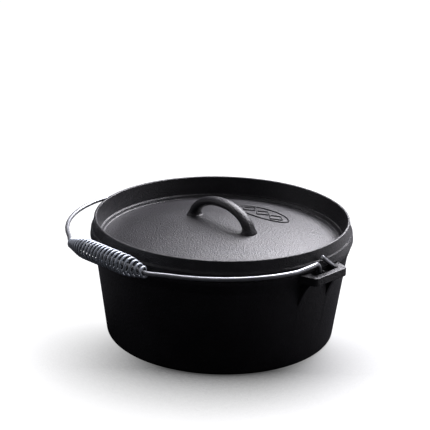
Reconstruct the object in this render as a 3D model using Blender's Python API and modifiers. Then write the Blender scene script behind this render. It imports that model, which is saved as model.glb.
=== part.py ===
"""Cast iron dutch oven with a flat base, a flanged lid and a wire bail with a spring grip.

Metres, +Z up. The origin is the centre of the pot's base. The two ears lie on X, and the bail rests
towards -Y. Four real pieces: the pot casting, the lid casting, the bail wire and the spring grip.
"""

import math

import bpy
from mathutils import Vector

# Pot casting
POT_H = 0.1233
BASE_R = 0.1400
BAND_FOOT_R = 0.1540
BAND_FOOT_Z = 0.1070
BAND_NECK_R = 0.1578
BAND_NECK_Z = 0.1190
RIM_R = 0.1580
MOUTH_R = 0.1528
MOUTH_FOOT_Z = 0.1150
CAVITY_TOP_R = 0.1497
CAVITY_BASE_R = 0.1365
FLOOR_T = 0.0055
BASE_FILLET = 0.0055
CAVITY_FILLET = 0.010
EDGE_FILLET = 0.0010

# Ears: a flat plate that narrows outwards, with a slot, crossed by the bar that the bail hooks round,
# on two gussets
EAR_T = 0.010
EAR_ROOT_X = (0.1500, 0.1546)
EAR_OUTER_X = 0.1754
EAR_ROOT_HALF_W = 0.0346
EAR_HALF_W = 0.0272
EAR_CORNER = 0.0045
SLOT_X = (0.1586, 0.1674)
SLOT_HALF_W = 0.0195
BAR_R = 0.0028
BAR_DROP = 0.0034
GUSSET_T = 0.005
GUSSET_Y = 0.024
GUSSET_H = 0.0343
GUSSET_REACH_X = 0.1685
GUSSET_FOOT_X = 0.1480
GUSSET_ROOT_X = (0.1455, 0.1530)

# Lid casting
SEAT_GAP = 0.0003
LID_TOP_Z = 0.1475
LID_RIM_R = 0.1549
LID_RIM_INNER_R = 0.1519
FLANGE_FOOT_R = 0.1568
FLANGE_FOOT_Z = 0.1352
BAND_TOP_R = 0.1588
BAND_TOP_Z = 0.1334
BAND_R = 0.1598
DISH_FOOT_R = 0.1488
DISH_FOOT_Z = 0.1247
LEDGE_R = 0.1470
STEP_R = 0.1450
DOME_EDGE_Z = 0.1200
DOME_TOP_Z = 0.1378
LID_T = 0.0042
BOSS_R = 0.1484

# Lid handle: an arch along X, cast in one with the lid
ARCH_HALF_SPAN = 0.0475
ARCH_RISE = 0.0275
ARCH_BASE_Z = 0.136
ARCH_SINK = 0.004
ARCH_R = 0.0046
FOOT_R = 0.0062
ARCH_WIDTH_SCALE = 1.55

# Bail: 5 mm wire. Heights of the hook are counted from the top of the ear plate.
WIRE_R = 0.0025
HOOK_X = 0.1630
HINGE_Y = 0.0
HINGE_Z = POT_H + 0.0010
HOOK_TIP = (-0.0046, 0.0172)
HOOK_KNEE = (0.0167, 0.0005)
HOOK_HEEL = (0.0167, -0.0112)
HOOK_TOE = (-0.0058, -0.0112)
HOOK_SHOULDER = (-0.0095, 0.0109)
KNEE_BEND = 0.0060
HEEL_BEND = 0.0050
TOE_BEND = 0.0050
SHOULDER_BEND = 0.0080
ARM_ROOT = (0.1655, -0.0240)
ARM_ROOT_BEND = 0.030
ARM_R = 0.1700
ARM_CENTRE_Y = -0.0222
ARM_START_DEG = 10.0
ARM_END_DEG = 61.0
ARM_STEPS = 9
GRIP_Y = -0.1832
GRIP_HALF = 0.0655
GRIP_BEND = 0.012
ARM_BEND = 0.050
BAIL_RISE = math.tan(math.radians(1.67))

# Spring grip: a coil with two tapered ends, loose on the straight middle of the bail
COIL_WIRE_R = 0.0012
COIL_MID_R = 0.0107
COIL_END_R = 0.0042
COIL_TAPER = (0.029, 0.034)
COIL_TURNS = 24
COIL_POINTS_PER_TURN = 14
PITCH_CLOSE = 0.00280
PITCH_MID = 0.00520
PITCH_OPEN = 0.00685

TURN_STEPS = 72


def clear_scene():
    for obj in list(bpy.data.objects):
        bpy.data.objects.remove(obj, do_unlink=True)


def new_collection(name):
    collection = bpy.data.collections.new(name)
    bpy.context.scene.collection.children.link(collection)
    return collection


def make_material(name, color, roughness, metallic):
    material = bpy.data.materials.new(name)
    material.use_nodes = True
    shader = material.node_tree.nodes["Principled BSDF"]
    shader.inputs["Base Color"].default_value = (*color, 1.0)
    shader.inputs["Roughness"].default_value = roughness
    shader.inputs["Metallic"].default_value = metallic
    material.diffuse_color = (*color, 1.0)
    return material


def arc(centre, radius, start_deg, end_deg, count):
    """Points (r, z) on an arc about centre, with both ends."""
    angles = [math.radians(start_deg + (end_deg - start_deg) * i / count) for i in range(count + 1)]
    return [(centre[0] + radius * math.cos(a), centre[1] + radius * math.sin(a)) for a in angles]


def rounded(points, bends, per_bend=6):
    """The open path through points, with an arc of the given bend radius at each inner point."""
    path = [Vector(points[0])]
    for before, corner, after, bend in zip(points, points[1:], points[2:], bends):
        corner = Vector(corner)
        to_before = (Vector(before) - corner).normalized()
        to_after = (Vector(after) - corner).normalized()
        half = to_before.angle(to_after) / 2
        middle = (to_before + to_after).normalized()
        centre = corner + middle * (bend / math.sin(half))
        start = (corner + to_before * (bend / math.tan(half)) - centre).normalized()
        end = (corner + to_after * (bend / math.tan(half)) - centre).normalized()
        for i in range(per_bend + 1):
            path.append(centre + start.slerp(end, i / per_bend) * bend)
    path.append(Vector(points[-1]))
    return path


def turned(name, profile, collection):
    """A closed turned solid: the profile runs from the axis, down its outer side and back to the axis."""
    mesh = bpy.data.meshes.new(name)
    mesh.from_pydata([(r, 0.0, z) for r, z in profile], [(i, i + 1) for i in range(len(profile) - 1)], [])
    obj = bpy.data.objects.new(name, mesh)
    collection.objects.link(obj)
    screw = obj.modifiers.new("Turn", "SCREW")
    screw.axis = "Z"
    screw.angle = 2 * math.pi
    screw.steps = TURN_STEPS
    screw.render_steps = TURN_STEPS
    screw.use_merge_vertices = True
    screw.merge_threshold = 0.00001
    screw.use_smooth_shade = True
    return obj


def wire_curve(name, points, radius, collection, radii=None, bevel_steps=2):
    """A round wire along points, with filled caps."""
    curve = bpy.data.curves.new(name, "CURVE")
    curve.dimensions = "3D"
    curve.bevel_depth = radius
    curve.bevel_resolution = bevel_steps
    curve.use_fill_caps = True
    spline = curve.splines.new("POLY")
    spline.points.add(len(points) - 1)
    for index, (point, place) in enumerate(zip(spline.points, points)):
        point.co = (*place, 1.0)
        point.radius = radii[index] / radius if radii else 1.0
    spline.use_smooth = True
    obj = bpy.data.objects.new(name, curve)
    collection.objects.link(obj)
    return obj


def mesh_from_curve(obj, collection):
    """Replaces a curve object by a closed mesh object of the same name and place."""
    name = obj.name
    bpy.context.view_layer.update()
    graph = bpy.context.evaluated_depsgraph_get()
    mesh = bpy.data.meshes.new_from_object(obj.evaluated_get(graph))
    mesh_object = bpy.data.objects.new(name + "_mesh", mesh)
    mesh_object.matrix_world = obj.matrix_world
    collection.objects.link(mesh_object)
    bpy.data.objects.remove(obj, do_unlink=True)
    mesh_object.name = name
    weld = mesh_object.modifiers.new("Weld", "WELD")
    weld.merge_threshold = 0.00001
    return mesh_object


def box(name, low, high, collection):
    bpy.ops.mesh.primitive_cube_add(size=1.0)
    obj = bpy.context.object
    obj.name = name
    for vertex in obj.data.vertices:
        vertex.co = [(a + b) / 2 + c * (b - a) for a, b, c in zip(low, high, vertex.co)]
    move_to(obj, collection)
    return obj


def move_to(obj, collection):
    for owner in list(obj.users_collection):
        owner.objects.unlink(obj)
    collection.objects.link(obj)


def hide_helper(obj):
    obj.hide_render = True
    obj.display_type = "WIRE"
    return obj


def combine(target, other, operation):
    """Adds a Boolean of the given operation, with a helper object, to target."""
    boolean = target.modifiers.new(other.name, "BOOLEAN")
    boolean.operation = operation
    boolean.solver = "EXACT"
    boolean.object = hide_helper(other)


def pot_profile():
    """Cavity floor, cavity wall, mouth, rim, band, wall, base."""
    wall_deg = math.degrees(math.atan((BAND_FOOT_R - BASE_R) / BAND_FOOT_Z))
    cavity_deg = math.degrees(math.atan((CAVITY_TOP_R - CAVITY_BASE_R) / (BAND_FOOT_Z - FLOOR_T)))
    cavity_centre = (CAVITY_BASE_R - CAVITY_FILLET * (1 - math.sin(math.radians(cavity_deg))),
                     FLOOR_T + CAVITY_FILLET)
    base_centre = (BASE_R - BASE_FILLET * (1 - math.sin(math.radians(wall_deg))), BASE_FILLET)
    profile = [(0.0, FLOOR_T)]
    profile += arc(cavity_centre, CAVITY_FILLET, -90, -cavity_deg, 4)
    profile += [(CAVITY_TOP_R, BAND_FOOT_Z), (MOUTH_R, MOUTH_FOOT_Z)]
    profile += arc((MOUTH_R + EDGE_FILLET, POT_H - EDGE_FILLET), EDGE_FILLET, 180, 90, 2)
    profile += arc((RIM_R - EDGE_FILLET, POT_H - EDGE_FILLET), EDGE_FILLET, 90, 0, 3)
    profile += [(BAND_NECK_R, BAND_NECK_Z), (BAND_FOOT_R, BAND_FOOT_Z)]
    profile += arc(base_centre, BASE_FILLET, -wall_deg, -90, 5)
    profile.append((0.0, 0.0))
    return profile


def slab(name, outline, thickness, collection):
    """A flat piece of the given outline, centred on its own Z, as a curve object."""
    curve = bpy.data.curves.new(name, "CURVE")
    curve.dimensions = "2D"
    curve.fill_mode = "BOTH"
    curve.extrude = thickness / 2
    spline = curve.splines.new("POLY")
    spline.points.add(len(outline) - 1)
    for point, (x, y) in zip(spline.points, outline):
        point.co = (x, y, 0.0, 1.0)
    spline.use_cyclic_u = True
    obj = bpy.data.objects.new(name, curve)
    collection.objects.link(obj)
    return obj


def gusset(name, side, y_centre, collection):
    """A rib under the ear plate whose free edge curves in to the wall."""
    top = POT_H - EAR_T
    buried = top + EAR_T / 5
    outline = [(GUSSET_ROOT_X[0], top - GUSSET_H), (GUSSET_ROOT_X[1], buried), (GUSSET_REACH_X, buried)]
    for i in range(6):
        t = i / 5
        x = GUSSET_REACH_X - (GUSSET_REACH_X - GUSSET_FOOT_X) * t ** 0.8
        outline.append((x, top - GUSSET_H * t ** 1.25))
    rib = slab(name, [(side * x, z) for x, z in outline], GUSSET_T, collection)
    rib.rotation_euler = (math.pi / 2, 0.0, 0.0)
    rib.location = (0.0, y_centre, 0.0)
    return mesh_from_curve(rib, collection)


def ear_plate(name, side, collection):
    """The plate's outline seen from above: rounded outer corners, and a root inside the pot's rim."""
    corners = [(EAR_ROOT_X[0], -EAR_ROOT_HALF_W), (EAR_OUTER_X, -EAR_HALF_W)]
    corners += [(x, -y) for x, y in reversed(corners)]
    outline = [(point.x, point.y) for point in rounded(corners, [EAR_CORNER, EAR_CORNER], per_bend=5)]
    outline.append((EAR_ROOT_X[1], 0.0))
    plate = slab(name, [(side * x, y) for x, y in outline], EAR_T, collection)
    plate.location = (0.0, 0.0, POT_H - EAR_T / 2)
    return mesh_from_curve(plate, collection)


def slot_cutter(name, side, collection):
    low_x, high_x = sorted((side * SLOT_X[0], side * SLOT_X[1]))
    low = (low_x, -SLOT_HALF_W, POT_H - 2 * EAR_T)
    high = (high_x, SLOT_HALF_W, POT_H + EAR_T)
    return box(name, low, high, collection)


def hook_bar(name, side, collection):
    length = SLOT_X[1] - SLOT_X[0] + 0.003
    bpy.ops.mesh.primitive_cylinder_add(vertices=16, radius=BAR_R, depth=length)
    bar = bpy.context.object
    bar.name = name
    bar.rotation_euler = (0.0, math.pi / 2, 0.0)
    bar.location = (side * (SLOT_X[0] + SLOT_X[1]) / 2, 0.0, POT_H - BAR_DROP)
    move_to(bar, collection)
    return bar


def make_pot(parts, helpers):
    pot = turned("pot", pot_profile(), parts)
    for side, word in ((1, "right"), (-1, "left")):
        combine(pot, ear_plate("ear_plate_" + word, side, helpers), "UNION")
        for index, y in enumerate((-GUSSET_Y, GUSSET_Y)):
            combine(pot, gusset(f"gusset_{word}_{index}", side, y, helpers), "UNION")
        combine(pot, slot_cutter("slot_" + word, side, helpers), "DIFFERENCE")
        combine(pot, hook_bar("hook_bar_" + word, side, helpers), "UNION")
    return pot


def dome_z(r):
    """Height of the lid's domed floor at radius r."""
    return DOME_TOP_Z - (DOME_TOP_Z - DOME_EDGE_Z) * (r / STEP_R) ** 2


def lid_profile():
    """Domed floor, step, ledge, dish wall, rim, flange, wide band, seat, boss, underside."""
    seat_z = POT_H + SEAT_GAP
    ring = [STEP_R * i / 5 for i in range(6)]
    rim_r = (LID_RIM_R - LID_RIM_INNER_R) / 2
    rim_centre = (LID_RIM_INNER_R + rim_r, LID_TOP_Z - rim_r)
    profile = [(r, dome_z(r)) for r in ring]
    profile += [(LEDGE_R, DISH_FOOT_Z - 0.0005), (DISH_FOOT_R, DISH_FOOT_Z)]
    profile += arc(rim_centre, rim_r, 180, 0, 5)
    profile += [(FLANGE_FOOT_R, FLANGE_FOOT_Z), (BAND_TOP_R, BAND_TOP_Z)]
    profile += [(BAND_R, seat_z + 0.0012), (BAND_R - 0.001, seat_z), (BOSS_R, seat_z)]
    under = dome_z(STEP_R) - LID_T
    profile += [(BOSS_R, under + 0.0015), (BOSS_R - 0.0015, under), (STEP_R, under)]
    profile += [(r, dome_z(r) - LID_T) for r in reversed(ring[:-1])]
    return profile


def arch_path():
    """The handle's centre line, an upright half ellipse that runs on below the floor at each foot."""
    points = [(-ARCH_HALF_SPAN, 0.0, ARCH_BASE_Z - ARCH_SINK)]
    for i in range(17):
        angle = math.pi * (1 - i / 16)
        x = ARCH_HALF_SPAN * math.cos(angle)
        points.append((x, 0.0, ARCH_BASE_Z + ARCH_RISE * math.sin(angle)))
    points.append((ARCH_HALF_SPAN, 0.0, ARCH_BASE_Z - ARCH_SINK))
    return points


def make_lid(parts, helpers):
    lid = turned("lid", lid_profile(), parts)
    points = arch_path()
    radii = []
    for point in points:
        rise = max(0.0, (point[2] - ARCH_BASE_Z) / ARCH_RISE)
        radii.append(ARCH_R + (FOOT_R - ARCH_R) * (1 - rise) ** 2)
    arch = wire_curve("lid_handle", points, ARCH_R, helpers, radii, bevel_steps=4)
    arch.scale = (1.0, ARCH_WIDTH_SCALE, 1.0)
    combine(lid, mesh_from_curve(arch, helpers), "UNION")
    return lid


def bail_z(distance):
    """Height of the resting bail at a distance in front of the ears."""
    return POT_H + HOOK_SHOULDER[1] + BAIL_RISE * distance


def half_bail_corners():
    """Corner points and bends from the hook's tip on the +X side to the middle of the grip."""
    hook = (HOOK_TIP, HOOK_KNEE, HOOK_HEEL, HOOK_TOE, HOOK_SHOULDER)
    corners = [(HOOK_X, y, POT_H + z) for y, z in hook]
    corners.append((*ARM_ROOT, bail_z(-ARM_ROOT[1])))
    bends = [KNEE_BEND, HEEL_BEND, TOE_BEND, SHOULDER_BEND, ARM_ROOT_BEND]
    for i in range(ARM_STEPS + 1):
        angle = math.radians(ARM_START_DEG + (ARM_END_DEG - ARM_START_DEG) * i / ARM_STEPS)
        y = ARM_CENTRE_Y - ARM_R * math.sin(angle)
        corners.append((ARM_R * math.cos(angle), y, bail_z(-y)))
        bends.append(ARM_BEND)
    corners.append((GRIP_HALF, GRIP_Y, bail_z(-GRIP_Y)))
    bends.append(GRIP_BEND)
    return corners, bends


def make_bail(parts):
    corners, bends = half_bail_corners()
    mirrored = [(-x, y, z) for x, y, z in reversed(corners)]
    path = rounded(corners + mirrored, bends + bends[::-1], per_bend=4)
    hinge = Vector((0.0, HINGE_Y, HINGE_Z))
    bail = wire_curve("bail_wire", [point - hinge for point in path], WIRE_R, parts)
    bail.location = hinge
    return bail


def smooth_step(low, high, value):
    t = min(1.0, max(0.0, (value - low) / (high - low)))
    return t * t * (3 - 2 * t)


def coil_pitch(turn):
    """Turns are close at one end of the grip and open towards the other."""
    middle = (PITCH_MID - PITCH_CLOSE) * smooth_step(2.5, 7.0, turn)
    opened = (PITCH_OPEN - PITCH_MID) * smooth_step(11.0, 20.0, turn)
    return PITCH_CLOSE + middle + opened


def coil_radius(along, length):
    """Radius of the coil's centre line: a cylinder with a cone at each end."""
    start = smooth_step(-0.2, 1.0, along / COIL_TAPER[0])
    end = smooth_step(-0.2, 1.0, (length - along) / COIL_TAPER[1])
    return COIL_END_R + (COIL_MID_R - COIL_END_R) * min(start, end)


def coil_points():
    count = COIL_TURNS * COIL_POINTS_PER_TURN
    along = [0.0]
    for i in range(count):
        along.append(along[-1] + coil_pitch(i / COIL_POINTS_PER_TURN) / COIL_POINTS_PER_TURN)
    points = []
    for i, place in enumerate(along):
        angle = 2 * math.pi * i / COIL_POINTS_PER_TURN
        radius = coil_radius(place, along[-1])
        x = place - along[-1] / 2
        points.append((x, radius * math.cos(angle), radius * math.sin(angle)))
    return points


def make_grip(parts):
    grip = wire_curve("grip_coil", coil_points(), COIL_WIRE_R, parts)
    grip.location = (0.0, GRIP_Y, bail_z(-GRIP_Y))
    return grip


def set_material(obj, material):
    obj.data.materials.clear()
    obj.data.materials.append(material)


def main():
    clear_scene()
    parts = new_collection("dutch_oven")
    helpers = new_collection("dutch_oven_helpers")
    iron = ((0.020, 0.020, 0.022), 0.62, 0.0)
    set_material(make_pot(parts, helpers), make_material("pot_iron", *iron))
    set_material(make_lid(parts, helpers), make_material("lid_iron", *iron))
    set_material(make_bail(parts), make_material("bail_steel", (0.62, 0.63, 0.66), 0.30, 1.0))
    set_material(make_grip(parts), make_material("grip_steel", (0.55, 0.57, 0.60), 0.36, 1.0))


main()
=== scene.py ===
"""Looks of the cast iron dutch oven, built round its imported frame: two iron castings, a wire bail and
a coiled spring grip, on a pale floor in soft studio light. Metres, +Z up, in the frame's own axes."""

import math

import bmesh
import bpy
from mathutils import Matrix, Vector, noise


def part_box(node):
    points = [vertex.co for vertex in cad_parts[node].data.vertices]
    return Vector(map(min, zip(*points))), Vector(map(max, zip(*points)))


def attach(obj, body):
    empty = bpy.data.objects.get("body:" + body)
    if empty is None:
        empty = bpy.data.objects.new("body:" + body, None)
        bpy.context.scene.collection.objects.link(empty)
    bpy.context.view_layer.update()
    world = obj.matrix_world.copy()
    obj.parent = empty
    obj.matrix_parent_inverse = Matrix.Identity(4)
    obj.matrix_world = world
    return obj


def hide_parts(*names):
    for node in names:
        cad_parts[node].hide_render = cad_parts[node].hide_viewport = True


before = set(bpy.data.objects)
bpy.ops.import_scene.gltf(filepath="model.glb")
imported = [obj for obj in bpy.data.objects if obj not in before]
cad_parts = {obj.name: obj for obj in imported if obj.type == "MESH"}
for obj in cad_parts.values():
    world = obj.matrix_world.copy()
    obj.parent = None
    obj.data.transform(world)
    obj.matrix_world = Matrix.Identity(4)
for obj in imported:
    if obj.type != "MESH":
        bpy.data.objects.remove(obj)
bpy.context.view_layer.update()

POT_LOW, POT_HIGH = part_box("pot")
LID_LOW, LID_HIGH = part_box("lid")

# Pot casting
POT_H = POT_HIGH.z
RIM_R = POT_HIGH.y
EAR_X = POT_HIGH.x
BASE_R = 0.1400
BAND_FOOT = (0.1540, 0.1070)
BAND_NECK = (0.1578, 0.1190)
MOUTH_R = 0.1528
MOUTH_FOOT_Z = 0.1150
CAVITY_TOP_R = 0.1497
CAVITY_BASE_R = 0.1365
FLOOR_T = 0.0055

# Ears
EAR_T = 0.010
EAR_ROOT = (0.1500, 0.0346)
EAR_HALF_W = 0.0272
EAR_CORNER = 0.0062
SLOT_X = (0.1586, 0.1674)
SLOT_HALF_W = 0.0195
BAR_R = 0.0028
BAR_DROP = 0.0034
GUSSET_T = 0.005
GUSSET_Y = 0.024
GUSSET_H = 0.0343
GUSSET_REACH_X = 0.1685
GUSSET_FOOT_X = 0.1480
GUSSET_ROOT_X = (0.1455, 0.1530)
GUSSET_SUNK = 0.002
GUSSET_STEPS = 11
EAR_ROOT_NOOK = 0.0044
EAR_VOXEL = 0.0006

# Lid casting
SEAT_Z = POT_H + 0.0003
LID_TOP_Z = 0.1475
BAND_R = LID_HIGH.x
BOSS_Z = LID_LOW.z
RIM_OUTER_R = 0.1549
RIM_INNER_R = 0.1519
FLANGE_FOOT = (0.1568, 0.1352)
BAND_TOP = (0.1588, 0.1334)
DISH_FOOT = (0.1488, 0.1247)
LEDGE_R = 0.1470
STEP_R = 0.1450
DOME_EDGE_Z = 0.1200
DOME_TOP_Z = 0.1378
LID_T = 0.0042
BOSS_R = 0.1484

# Lid handle: its section's half height and half width at the top, and what they gain at the feet
ARCH_HALF_SPAN = 0.0458
ARCH_CENTRE_X = -0.0010
ARCH_BASE_Z = 0.136
ARCH_SIDE = (0.0055, 0.0076)
ARCH_FOOT_GAIN = (0.0016, 0.0018)
ARCH_FLARE = 0.0022
ARCH_FLARE_HEIGHT = 0.006
ARCH_SUNK = 0.004
ARCH_STEPS = 56
ARCH_TOP_Z = LID_HIGH.z - ARCH_SIDE[0]

# Plain cast relief behind the handle: an oval border round three lozenges
RELIEF_CENTRE = (0.003, 0.070)
RELIEF_OVAL = (0.040, 0.0200)
RELIEF_LOZENGE = (0.0100, 0.0105)
RELIEF_PITCH = 0.0225
RELIEF_SIDE = (0.0011, 0.0013)

# Bail and grip
WIRE_R = 0.0025
HOOK_X = 0.1630
HOOK_TIP = (-0.0046, 0.0172)
HOOK_KNEE = (0.0167, 0.0005)
HOOK_HEEL = (0.0167, -0.0112)
HOOK_TOE = (-0.0058, -0.0112)
HOOK_SHOULDER = (-0.0095, 0.0109)
HOOK_BENDS = (0.0060, 0.0050, 0.0050, 0.0080)
ARM_ROOT = (0.1655, -0.0240)
ARM_ROOT_BEND = 0.030
ARM_R = 0.1700
ARM_CENTRE_Y = -0.0222
ARM_DEG = (10.0, 61.0)
ARM_STEPS = 9
ARM_BEND = 0.050
GRIP_Y = -0.1832
GRIP_HALF = 0.0655
GRIP_BEND = 0.012
BAIL_RISE = math.tan(math.radians(1.67))
COIL_WIRE_R = 0.00138
COIL_MID_R = 0.0107
COIL_END_R = 0.0042
COIL_TAPER = (0.029, 0.034)
COIL_TURNS = 24
COIL_POINTS_PER_TURN = 32
PITCH_CLOSE = 0.00280
PITCH_MID = 0.00520
PITCH_OPEN = 0.00685

# Camera and lights, angles in degrees
CAMERA_AZIMUTH = 44.0
CAMERA_ELEVATION = 19.344
CAMERA_ROLL = 1.386
CAMERA_CENTRE_Z = 0.147
CAMERA_DISTANCE = 1.54
CAMERA_LENS = 106.16
CAMERA_AIM = (0.323, -0.009)
LIGHT_COLOUR = (0.955, 0.940, 1.0)

# Floor and surfaces
FLOOR_HALF_SIZE = 8.0
FLOOR_GLOW = 1.10
FLOOR_SHADE = 1.02
FLOOR_SHADE_REACH = 0.17
# How far the painted shade on the wire reaches where other wire or the pot closes round it
ENCLOSED_SHADE_REACH = 0.022
EDGE_WEAR_REACH = 0.0012
CAST_WOBBLE = 0.00012
TURN_STEPS = 240


# ---------------------------------------------------------------- mesh helpers

def link(obj):
    bpy.context.scene.collection.objects.link(obj)
    return obj


def new_mesh_object(name, points, faces):
    mesh = bpy.data.meshes.new(name)
    mesh.from_pydata(points, [], faces)
    mesh.validate()
    return link(bpy.data.objects.new(name, mesh))


def bend_arc(before, corner, after, radius, step_deg=12.0):
    """Points of the arc that rounds a corner, any dimension."""
    corner = Vector(corner)
    to_before = (Vector(before) - corner).normalized()
    to_after = (Vector(after) - corner).normalized()
    half = to_before.angle(to_after) / 2
    middle = (to_before + to_after).normalized()
    centre = corner + middle * (radius / math.sin(half))
    reach = radius / math.tan(half)
    start = corner + to_before * reach - centre
    turn = math.pi - 2 * half
    side = (start - middle * start.dot(middle)).normalized()
    count = max(2, round(math.degrees(turn) / step_deg))
    points = []
    for i in range(count + 1):
        angle = turn * (i / count - 0.5)
        points.append(centre + (-middle * math.cos(angle) - side * math.sin(angle)) * radius)
    return points


def soft_profile(corners, hold=0.0006):
    """A turned profile (r, z) from corners (r, z, fillet), with a holding point by each fillet."""
    flat = [Vector((r, z)) for r, z, _ in corners]
    profile = [flat[0]]
    for i in range(1, len(corners) - 1):
        fillet = corners[i][2]
        if not fillet:
            profile.append(flat[i])
            continue
        rounded = bend_arc(flat[i - 1], flat[i], flat[i + 1], fillet)
        for near, far in ((rounded[0], flat[i - 1]), (rounded[-1], flat[i + 1])):
            held = near + (far - near).normalized() * min(hold, (far - near).length / 3)
            rounded = [held] + rounded if near is rounded[0] else rounded + [held]
        profile += rounded
    profile.append(flat[-1])
    return profile


def turned(name, profile):
    """A closed solid turned about Z from a profile that starts and ends on the axis."""
    points = []
    rings = []
    for r, z in profile:
        if r < 1e-6:
            rings.append([len(points)] * TURN_STEPS)
            points.append((0.0, 0.0, z))
            continue
        rings.append(list(range(len(points), len(points) + TURN_STEPS)))
        for i in range(TURN_STEPS):
            angle = 2 * math.pi * i / TURN_STEPS
            points.append((r * math.cos(angle), r * math.sin(angle), z))
    faces = []
    for upper, lower in zip(rings, rings[1:]):
        for i in range(TURN_STEPS):
            j = (i + 1) % TURN_STEPS
            corners = [upper[i], lower[i], lower[j], upper[j]]
            face = [c for k, c in enumerate(corners) if c != corners[k - 1]]
            faces.append(face)
    return new_mesh_object(name, points, faces)


def swept(name, centres, axes, sizes, sides=20, loop=False):
    """A closed tube: an ellipse of sizes (a, b) along axes (u, v) at each centre, capped or in a loop."""
    points = []
    for centre, (u, v), (a, b) in zip(centres, axes, sizes):
        for i in range(sides):
            angle = 2 * math.pi * i / sides
            points.append(centre + u * (a * math.cos(angle)) + v * (b * math.sin(angle)))
    faces = []
    for ring in range(len(centres) - (0 if loop else 1)):
        low = ring * sides
        high = (ring + 1) % len(centres) * sides
        for i in range(sides):
            j = (i + 1) % sides
            faces.append((low + i, low + j, high + j, high + i))
    if not loop:
        last = (len(centres) - 1) * sides
        faces.append(tuple(range(sides - 1, -1, -1)))
        faces.append(tuple(range(last, last + sides)))
    return new_mesh_object(name, points, faces)


def wire(name, path, radius, sides=16):
    """A round wire along a path, with its ends slightly broken, as cut wire has."""
    runs = [(b - a).normalized() for a, b in zip(path, path[1:])]
    tangents = [runs[0]] + [(a + b).normalized() for a, b in zip(runs, runs[1:])] + [runs[-1]]
    centres = [Vector(p) for p in path]
    lip = radius * 0.22
    centres = [centres[0]] + [centres[0] + tangents[0] * lip] + centres[1:-1]
    centres += [Vector(path[-1]) - tangents[-1] * lip, Vector(path[-1])]
    tangents = [tangents[0]] + tangents + [tangents[-1]]
    radii = [radius - lip] + [radius] * (len(centres) - 2) + [radius - lip]
    normal = tangents[0].orthogonal().normalized()
    axes = []
    for tangent in tangents:
        normal = (normal - tangent * normal.dot(tangent)).normalized()
        axes.append((normal, tangent.cross(normal)))
    return swept(name, centres, axes, [(r, r) for r in radii], sides)


def prism(name, outline, along, low, high):
    """A closed prism: an outline of (x, z) or (x, y) points, drawn out along Y or Z."""
    count = len(outline)
    points = []
    for level in (low, high):
        for a, b in outline:
            points.append((a, level, b) if along == "Y" else (a, b, level))
    sides = [(i, (i + 1) % count, count + (i + 1) % count, count + i) for i in range(count)]
    faces = sides + [tuple(range(count - 1, -1, -1)), tuple(range(count, 2 * count))]
    obj = new_mesh_object(name, points, faces)
    face_out(obj)
    return obj


def face_out(obj):
    """Turns a closed mesh's faces outward."""
    work = bmesh.new()
    work.from_mesh(obj.data)
    bmesh.ops.recalc_face_normals(work, faces=work.faces)
    work.to_mesh(obj.data)
    work.free()


def boolean(obj, other, operation):
    modifier = obj.modifiers.new(other.name, "BOOLEAN")
    modifier.operation = operation
    modifier.solver = "EXACT"
    modifier.object = other


def bake_modifiers(obj, helpers=()):
    """Puts the result of an object's modifiers in its mesh, and removes the helpers they used."""
    bpy.context.view_layer.update()
    graph = bpy.context.evaluated_depsgraph_get()
    mesh = bpy.data.meshes.new_from_object(obj.evaluated_get(graph))
    obj.modifiers.clear()
    obj.data = mesh
    for helper in helpers:
        bpy.data.objects.remove(helper, do_unlink=True)
    return obj


def smooth_shade(obj, crease_deg=38.0):
    obj.data.shade_smooth()
    obj.data.set_sharp_from_angle(angle=math.radians(crease_deg))


def cast_wobble(obj, size, amount):
    """The slight waviness that a sand mould leaves in a surface."""
    mesh = obj.data
    normals = [v.normal.copy() for v in mesh.vertices]
    for vertex, normal in zip(mesh.vertices, normals):
        vertex.co += normal * (noise.noise(vertex.co / size) * amount)


# ---------------------------------------------------------------- pot

def pot_body():
    corners = [
        (0.0, FLOOR_T, 0),
        (CAVITY_BASE_R, FLOOR_T, 0.010),
        (CAVITY_TOP_R, BAND_FOOT[1], 0.004),
        (MOUTH_R, MOUTH_FOOT_Z, 0.004),
        (MOUTH_R, POT_H, 0.0010),
        (RIM_R, POT_H, 0.0010),
        (BAND_NECK[0], BAND_NECK[1], 0.004),
        (BAND_FOOT[0], BAND_FOOT[1], 0.007),
        (BASE_R, 0.0, 0.0055),
        (0.0, 0.0, 0),
    ]
    return turned("pot_casting", soft_profile(corners))


def ear_outline():
    """The plate from above: rounded outer corners, and a root that stays inside the rim."""
    root_x, root_y = EAR_ROOT
    corners = [(root_x, -root_y), (EAR_X, -EAR_HALF_W), (EAR_X, EAR_HALF_W), (root_x, root_y)]
    outline = [corners[0]]
    for before, corner, after in (corners[:3], corners[1:]):
        outline += [tuple(p) for p in bend_arc(before, corner, after, EAR_CORNER)]
    return outline + [corners[3], (root_x + EAR_ROOT_NOOK, 0.0)]


def gusset_outline():
    """The rib from the side, with a free edge that curves in to the wall."""
    top = POT_H - EAR_T
    buried = top + GUSSET_SUNK
    outline = [(GUSSET_ROOT_X[0], top - GUSSET_H), (GUSSET_ROOT_X[1], buried), (GUSSET_REACH_X, buried)]
    for i in range(GUSSET_STEPS + 1):
        t = i / GUSSET_STEPS
        x = GUSSET_REACH_X - (GUSSET_REACH_X - GUSSET_FOOT_X) * t ** 0.8
        outline.append((x, top - GUSSET_H * t ** 1.25))
    return outline


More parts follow.
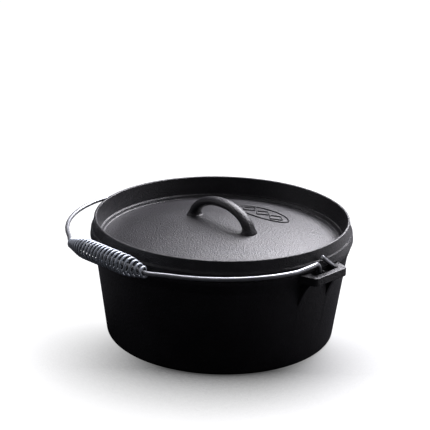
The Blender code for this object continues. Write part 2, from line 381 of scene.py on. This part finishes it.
def ear():
    """One ear at +X: plate, slot, bar and gussets melted together as a casting."""
    plate = prism("ear", ear_outline(), "Z", POT_H - EAR_T, POT_H - 0.0001)
    helpers = []
    for sign in (-1, 1):
        y = sign * GUSSET_Y
        helpers.append(prism("gusset", gusset_outline(), "Y", y - GUSSET_T / 2, y + GUSSET_T / 2))
        boolean(plate, helpers[-1], "UNION")
    slot = [(SLOT_X[0], -SLOT_HALF_W), (SLOT_X[1], -SLOT_HALF_W),
            (SLOT_X[1], SLOT_HALF_W), (SLOT_X[0], SLOT_HALF_W)]
    helpers.append(prism("slot", slot, "Z", POT_H - 0.02, POT_H + 0.01))
    boolean(plate, helpers[-1], "DIFFERENCE")
    centres = [Vector((x, 0.0, POT_H - BAR_DROP)) for x in (SLOT_X[0] - 0.002, SLOT_X[1] + 0.002)]
    axes = [(Vector((0, 1, 0)), Vector((0, 0, 1)))] * 2
    helpers.append(swept("bar", centres, axes, [(BAR_R, BAR_R)] * 2))
    boolean(plate, helpers[-1], "UNION")
    melt = plate.modifiers.new("Melt", "REMESH")
    melt.mode = "VOXEL"
    melt.voxel_size = EAR_VOXEL
    relax = plate.modifiers.new("Relax", "SMOOTH")
    relax.factor = 0.5
    relax.iterations = 5
    return bake_modifiers(plate, helpers)


def make_pot():
    pot = pot_body()
    right = ear()
    left = link(bpy.data.objects.new("ear_left", right.data.copy()))
    left.data.transform(Matrix.Scale(-1, 4, Vector((1, 0, 0))))
    left.data.flip_normals()
    boolean(pot, right, "UNION")
    boolean(pot, left, "UNION")
    bake_modifiers(pot, (right, left))
    cast_wobble(pot, 0.030, CAST_WOBBLE)
    smooth_shade(pot)
    return pot


# ---------------------------------------------------------------- lid

def dome_z(r):
    return DOME_TOP_Z - (DOME_TOP_Z - DOME_EDGE_Z) * (r / STEP_R) ** 2


def lid_body():
    dome_steps = 24
    ring = [STEP_R * i / dome_steps for i in range(dome_steps + 1)]
    rim_fillet = (RIM_OUTER_R - RIM_INNER_R) * 0.46
    corners = [(r, dome_z(r), 0) for r in ring[:-1]]
    corners += [
        (STEP_R, DOME_EDGE_Z, 0.0020),
        (LEDGE_R, DISH_FOOT[1] - 0.0004, 0.0016),
        (*DISH_FOOT, 0.0012),
        (RIM_INNER_R, LID_TOP_Z, rim_fillet),
        (RIM_OUTER_R, LID_TOP_Z, rim_fillet),
        (*FLANGE_FOOT, 0.0008),
        (*BAND_TOP, 0.0012),
        (BAND_R, SEAT_Z + 0.0012, 0.0008),
        (BAND_R - 0.0010, SEAT_Z, 0.0004),
        (BOSS_R, SEAT_Z, 0.0003),
        (BOSS_R, BOSS_Z, 0.0012),
        (STEP_R, BOSS_Z, 0.0004),
    ]
    corners += [(r, dome_z(r) - LID_T, 0) for r in reversed(ring[:-1])]
    return turned("lid_casting", soft_profile(corners))


def lid_handle():
    """The arch, thicker and wider towards its feet, which flare out and run on below the floor."""
    centres, axes, sizes = [], [], []
    rise = ARCH_TOP_Z - ARCH_BASE_Z
    across = Vector((0, 1, 0))
    for i in range(-1, ARCH_STEPS + 2):
        step = min(max(i, 0), ARCH_STEPS)
        angle = math.pi * (1 - step / ARCH_STEPS)
        x = ARCH_CENTRE_X + ARCH_HALF_SPAN * math.cos(angle)
        z = ARCH_BASE_Z + rise * math.sin(angle)
        tangent = Vector((-ARCH_HALF_SPAN * math.sin(angle), 0.0, rise * math.cos(angle))).normalized()
        foot = (1 - math.sin(angle)) ** 2
        flare = ARCH_FLARE * max(0.0, 1 - (z - ARCH_BASE_Z) / ARCH_FLARE_HEIGHT) ** 2
        centres.append(Vector((x, 0.0, z if i == step else z - ARCH_SUNK)))
        axes.append((tangent.cross(across), across))
        sizes.append(tuple(side + gain * foot + flare for side, gain in zip(ARCH_SIDE, ARCH_FOOT_GAIN)))
    arch = swept("lid_arch", centres, axes, sizes, sides=28)
    face_out(arch)
    return arch


def relief_loop(name, x, y, size, count):
    """A raised bead round a point of the dome: an oval for a high count, a lozenge for a count of 4."""
    turn = [2 * math.pi * i / count for i in range(count)]
    outline = [Vector((x + size[0] * math.cos(a), y + size[1] * math.sin(a), 0.0)) for a in turn]
    if count == 4:
        sides = zip(outline, outline[1:] + outline[:1])
        outline = [a.lerp(b, t) for a, b in sides for t in (0.04, 0.35, 0.65, 0.96)]
    centres = [Vector((p.x, p.y, dome_z(p.length) + 0.0001)) for p in outline]
    axes = []
    for before, after in zip(outline[-1:] + outline[:-1], outline[1:] + outline[:1]):
        along = (after - before).normalized()
        axes.append((Vector((along.y, -along.x, 0.0)), Vector((0, 0, 1))))
    bead = swept(name, centres, axes, [RELIEF_SIDE] * len(centres), sides=10, loop=True)
    face_out(bead)
    return bead


def make_relief():
    x, y = RELIEF_CENTRE
    beads = [relief_loop("relief_border", x, y, RELIEF_OVAL, 72)]
    for step in (-1, 0, 1):
        beads.append(relief_loop("relief_lozenge", x + step * RELIEF_PITCH, y, RELIEF_LOZENGE, 4))
    return beads


def join(obj, others):
    """Puts other closed meshes in an object's mesh, each still a closed shell."""
    work = bmesh.new()
    for piece in (obj, *others):
        work.from_mesh(piece.data)
    work.to_mesh(obj.data)
    work.free()
    for piece in others:
        bpy.data.objects.remove(piece, do_unlink=True)


def make_lid():
    lid = lid_body()
    arch = lid_handle()
    boolean(lid, arch, "UNION")
    bake_modifiers(lid, (arch,))
    join(lid, make_relief())
    cast_wobble(lid, 0.028, CAST_WOBBLE)
    smooth_shade(lid)
    return lid


# ---------------------------------------------------------------- bail and grip

def bail_z(distance):
    return POT_H + HOOK_SHOULDER[1] + BAIL_RISE * distance


def bail_path():
    hook = (HOOK_TIP, HOOK_KNEE, HOOK_HEEL, HOOK_TOE, HOOK_SHOULDER)
    corners = [Vector((HOOK_X, y, POT_H + z)) for y, z in hook]
    corners.append(Vector((*ARM_ROOT, bail_z(-ARM_ROOT[1]))))
    bends = [0, *HOOK_BENDS, ARM_ROOT_BEND]
    for i in range(ARM_STEPS + 1):
        angle = math.radians(ARM_DEG[0] + (ARM_DEG[1] - ARM_DEG[0]) * i / ARM_STEPS)
        y = ARM_CENTRE_Y - ARM_R * math.sin(angle)
        corners.append(Vector((ARM_R * math.cos(angle), y, bail_z(-y))))
        bends.append(ARM_BEND)
    corners.append(Vector((GRIP_HALF, GRIP_Y, bail_z(-GRIP_Y))))
    bends.append(GRIP_BEND)
    corners += [Vector((-c.x, c.y, c.z)) for c in reversed(corners)]
    bends += bends[::-1]
    path = [corners[0]]
    for i in range(1, len(corners) - 1):
        path += bend_arc(corners[i - 1], corners[i], corners[i + 1], bends[i], step_deg=9.0)
    path.append(corners[-1])
    return path


def smooth_step(low, high, value):
    t = min(1.0, max(0.0, (value - low) / (high - low)))
    return t * t * (3 - 2 * t)


def coil_path():
    def pitch(turn):
        middle = (PITCH_MID - PITCH_CLOSE) * smooth_step(2.5, 7.0, turn)
        return PITCH_CLOSE + middle + (PITCH_OPEN - PITCH_MID) * smooth_step(11.0, 20.0, turn)

    along = [0.0]
    for i in range(COIL_TURNS * COIL_POINTS_PER_TURN):
        along.append(along[-1] + pitch(i / COIL_POINTS_PER_TURN) / COIL_POINTS_PER_TURN)
    path = []
    for i, place in enumerate(along):
        angle = 2 * math.pi * i / COIL_POINTS_PER_TURN
        start = smooth_step(-0.2, 1.0, place / COIL_TAPER[0])
        end = smooth_step(-0.2, 1.0, (along[-1] - place) / COIL_TAPER[1])
        radius = COIL_END_R + (COIL_MID_R - COIL_END_R) * min(start, end)
        offset = Vector((place - along[-1] / 2, radius * math.cos(angle), radius * math.sin(angle)))
        path.append(offset + Vector((0.0, GRIP_Y, bail_z(-GRIP_Y))))
    return path


def make_bail():
    bail = wire("bail_rod", bail_path(), WIRE_R, sides=20)
    smooth_shade(bail)
    return bail


def make_grip():
    grip = wire("spring_grip", coil_path(), COIL_WIRE_R, sides=12)
    smooth_shade(grip)
    return grip


# ---------------------------------------------------------------- materials

class Nodes:
    """Short calls for building one material's node tree."""

    def __init__(self, name):
        self.material = bpy.data.materials.new(name)
        self.material.use_nodes = True
        self.tree = self.material.node_tree
        self.shader = self.tree.nodes["Principled BSDF"]

    def add(self, kind, **values):
        node = self.tree.nodes.new(kind)
        for key, value in values.items():
            if key in node.inputs:
                node.inputs[key].default_value = value
            else:
                setattr(node, key, value)
        return node

    def link(self, output, target):
        self.tree.links.new(output, target)

    def texture_point(self):
        return self.add("ShaderNodeTexCoord").outputs["Object"]

    def noise(self, scale, detail=2.0, roughness=0.5, point=None):
        node = self.add("ShaderNodeTexNoise", Scale=scale, Detail=detail, Roughness=roughness)
        self.link(point or self.texture_point(), node.inputs["Vector"])
        return node.outputs["Fac"]

    def range(self, value, low, high, to_low, to_high):
        node = self.add("ShaderNodeMapRange")
        for key, number in (("From Min", low), ("From Max", high), ("To Min", to_low), ("To Max", to_high)):
            node.inputs[key].default_value = number
        self.link(value, node.inputs["Value"])
        return node.outputs["Result"]

    def math(self, operation, first, second):
        node = self.add("ShaderNodeMath", operation=operation)
        for index, value in enumerate((first, second)):
            if isinstance(value, (int, float)):
                node.inputs[index].default_value = value
            else:
                self.link(value, node.inputs[index])
        return node.outputs["Value"]

    def mix(self, factor, first, second):
        node = self.add("ShaderNodeMix", data_type="RGBA")
        self.link(factor, node.inputs["Factor"])
        for socket, value in ((node.inputs[6], first), (node.inputs[7], second)):
            if isinstance(value, tuple):
                socket.default_value = (*value, 1.0)
            else:
                self.link(value, socket)
        return node.outputs[2]

    def edge_wear(self, reach):
        """A mask of the convex edges, from how far a rounded normal leaves the real one."""
        rounded = self.add("ShaderNodeBevel", Radius=reach, samples=4).outputs["Normal"]
        real = self.add("ShaderNodeNewGeometry").outputs["Normal"]
        facing = self.add("ShaderNodeVectorMath", operation="DOT_PRODUCT")
        self.link(rounded, facing.inputs[0])
        self.link(real, facing.inputs[1])
        return self.range(facing.outputs["Value"], 0.995, 0.90, 0.0, 1.0)

    def bump(self, height, strength, distance, normal=None):
        node = self.add("ShaderNodeBump", Strength=strength, Distance=distance)
        self.link(height, node.inputs["Height"])
        if normal is not None:
            self.link(normal, node.inputs["Normal"])
        return node.outputs["Normal"]


def iron_material(name):
    """Seasoned black cast iron: a pebbly sand-cast grain under a thin, patchy skin of oil."""
    n = Nodes(name)
    point = n.texture_point()
    sand = n.noise(900.0, 2.0, 0.6, point)
    pebble = n.noise(520.0, 2.0, 0.6, point)
    swell = n.noise(120.0, 2.0, 0.5, point)
    patch = n.noise(26.0, 4.0, 0.6, point)
    colour = n.mix(n.range(patch, 0.35, 0.68, 0.0, 1.0), (0.0085, 0.0080, 0.0100), (0.0150, 0.0142, 0.0172))
    worn = n.math("MULTIPLY", n.edge_wear(EDGE_WEAR_REACH), n.range(pebble, 0.40, 0.62, 0.0, 1.0))
    n.link(n.mix(worn, colour, (0.060, 0.058, 0.060)), n.shader.inputs["Base Color"])
    rough = n.math("ADD", n.range(patch, 0.3, 0.7, 0.35, 0.41), n.range(sand, 0.3, 0.7, -0.03, 0.05))
    n.link(n.math("SUBTRACT", rough, n.math("MULTIPLY", worn, 0.10)), n.shader.inputs["Roughness"])
    first = n.bump(swell, 0.25, 0.00040)
    second = n.bump(pebble, 0.90, 0.00085, first)
    n.link(n.bump(sand, 0.75, 0.00038, second), n.shader.inputs["Normal"])
    n.shader.inputs["Specular IOR Level"].default_value = 0.5
    return n.material


def steel_material(name, colour, rough_low, rough_high):
    """Zinc-plated drawn wire: satin, with fine streaks and duller patches, and painted shade that darkens it
    where enclosed.
    """
    n = Nodes(name)
    point = n.texture_point()
    streak = n.noise(900.0, 2.0, 0.5, point)
    patch = n.noise(60.0, 3.0, 0.6, point)
    darker = tuple(c * 0.74 for c in colour)
    shade = n.mix(n.range(patch, 0.35, 0.7, 0.0, 1.0), darker, colour)
    # Painted shade: the colour goes near-black where ambient occlusion finds the wire enclosed, as in the
    # coil's gaps and round the hook
    exposed = n.add("ShaderNodeAmbientOcclusion", Distance=ENCLOSED_SHADE_REACH, samples=8).outputs["AO"]
    painted_shade_colour = tuple(c * 0.12 for c in colour)
    n.link(n.mix(n.range(exposed, 0.37, 0.75, 0.0, 1.0), painted_shade_colour, shade), n.shader.inputs["Base Color"])
    n.link(n.range(streak, 0.3, 0.7, rough_low, rough_high), n.shader.inputs["Roughness"])
    n.link(n.bump(streak, 0.25, 0.00005), n.shader.inputs["Normal"])
    n.shader.inputs["Metallic"].default_value = 0.65
    return n.material


def dress(obj, material, body, node):
    obj.data.materials.clear()
    obj.data.materials.append(material)
    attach(obj, body)
    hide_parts(node)


# ---------------------------------------------------------------- stage

def make_floor():
    """Pale paper that glows to the camera alone, and is dark to every other ray, so it bounces little light.

    Its shade isn't cast by the lights. It is drawn where the pot hides the sky, and only on the side away
    from the back lights, which is a fixed direction.
    """
    size = FLOOR_HALF_SIZE
    corners = [(-size, -size, 0), (size, -size, 0), (size, size, 0), (-size, size, 0)]
    floor = new_mesh_object("floor", corners, [(0, 1, 2, 3)])
    n = Nodes("floor_paper")
    grain = n.noise(400.0, 2.0, 0.5)
    paper = n.mix(grain, (0.90, 0.90, 0.905), (0.94, 0.94, 0.945))
    n.shader.inputs["Roughness"].default_value = 0.9
    n.shader.inputs["Specular IOR Level"].default_value = 0.0
    path = n.add("ShaderNodeLightPath").outputs["Is Camera Ray"]
    n.link(n.mix(path, (0.03, 0.03, 0.032), (0.10, 0.10, 0.105)), n.shader.inputs["Base Color"])
    n.link(paper, n.shader.inputs["Emission Color"])
    occluded = n.add("ShaderNodeAmbientOcclusion", Distance=FLOOR_SHADE_REACH, samples=16).outputs["AO"]
    in_front = n.add("ShaderNodeVectorMath", operation="DOT_PRODUCT")
    n.link(n.texture_point(), in_front.inputs[0])
    in_front.inputs[1].default_value = direction(CAMERA_AZIMUTH, 0.0)
    near = n.range(in_front.outputs["Value"], -0.010, 0.125, 0.0, FLOOR_SHADE)
    shade = n.math("MULTIPLY", n.range(occluded, 0.45, 0.90, 1.0, 0.0), near)
    glow = n.math("SUBTRACT", FLOOR_GLOW, shade)
    n.link(n.math("MULTIPLY", glow, path), n.shader.inputs["Emission Strength"])
    floor.data.materials.append(n.material)


def make_world():
    """A white backdrop to the camera alone, and a dim room to every other ray."""
    world = bpy.data.worlds.new("studio")
    bpy.context.scene.world = world
    world.use_nodes = True
    tree = world.node_tree
    room = tree.nodes["Background"]
    room.inputs["Color"].default_value = (0.9, 0.93, 1.0, 1.0)
    room.inputs["Strength"].default_value = 0.012
    backdrop = tree.nodes.new("ShaderNodeBackground")
    backdrop.inputs["Strength"].default_value = 1.2
    backdrop.inputs["Color"].default_value = (1.0, 1.0, 1.0, 1.0)
    path = tree.nodes.new("ShaderNodeLightPath")
    mix = tree.nodes.new("ShaderNodeMixShader")
    tree.links.new(path.outputs["Is Camera Ray"], mix.inputs[0])
    tree.links.new(room.outputs[0], mix.inputs[1])
    tree.links.new(backdrop.outputs[0], mix.inputs[2])
    tree.links.new(mix.outputs[0], tree.nodes["World Output"].inputs["Surface"])


def direction(azimuth, elevation):
    """The unit vector out from the pot at an azimuth, counted from -Y towards +X, and an elevation."""
    a, e = math.radians(azimuth), math.radians(elevation)
    return Vector((math.sin(a) * math.cos(e), -math.cos(a) * math.cos(e), math.sin(e)))


def softbox(name, azimuth, elevation, distance, width, height, power):
    """An area light that faces the pot's rim. Its azimuth is counted as the camera's is."""
    light = bpy.data.lights.new(name, "AREA")
    light.shape = "RECTANGLE"
    light.size = width
    light.size_y = height
    light.energy = power
    light.color = LIGHT_COLOUR
    obj = link(bpy.data.objects.new(name, light))
    back = direction(azimuth, elevation)
    obj.location = Vector((0, 0, POT_H)) + back * distance
    obj.rotation_mode = "QUATERNION"
    obj.rotation_quaternion = (-back).to_track_quat("-Z", "Y")
    obj.visible_camera = False
    return obj


def make_lights():
    """Two strong lights behind, a low card at the right, and weak fills for the dark sides."""
    for name, turn, elevation, distance, width, height, power in (
            ("key_back_right", 146, 39, 1.6, 1.0, 0.8, 50),
            ("bounce_right", 106, -9, 0.455, 0.5, 0.09, 0.20),
            ("back_high", 162, 60, 1.7, 1.3, 0.8, 34),
            ("fill_left", 270, 25, 1.6, 0.9, 0.9, 4),
            ("fill_right", 80, 14, 1.6, 0.8, 0.6, 2.4),
            ("fill_front", 0, 50, 1.8, 1.2, 0.8, 2.2)):
        softbox(name, CAMERA_AZIMUTH + turn, elevation, distance, width, height, power)


def make_camera():
    camera = bpy.data.cameras.new("camera")
    camera.sensor_width = 36.0
    camera.lens = CAMERA_LENS
    camera.clip_end = 50.0
    obj = link(bpy.data.objects.new("camera", camera))
    back = direction(CAMERA_AZIMUTH, CAMERA_ELEVATION)
    obj.location = Vector((0, 0, CAMERA_CENTRE_Z)) + back * CAMERA_DISTANCE
    turn = (-back).to_track_quat("-Z", "Y").to_matrix()
    yaw = Matrix.Rotation(math.radians(CAMERA_AIM[0]), 3, "Y")
    pitch = Matrix.Rotation(math.radians(CAMERA_AIM[1]), 3, "X")
    roll = Matrix.Rotation(math.radians(CAMERA_ROLL), 3, "Z")
    obj.rotation_mode = "QUATERNION"
    obj.rotation_quaternion = (turn @ yaw @ pitch @ roll).to_quaternion()
    bpy.context.scene.camera = obj


def main():
    bpy.context.scene.view_settings.view_transform = "Standard"
    make_camera()
    make_world()
    make_lights()
    make_floor()
    dress(make_pot(), iron_material("pot_iron_look"), "pot", "pot")
    dress(make_lid(), iron_material("lid_iron_look"), "lid", "lid")
    dress(make_bail(), steel_material("bail_steel_look", (0.38, 0.39, 0.41), 0.30, 0.42),
          "bail", "bail_wire")
    dress(make_grip(), steel_material("grip_steel_look", (0.53, 0.57, 0.63), 0.42, 0.55),
          "grip", "grip_coil")


main()
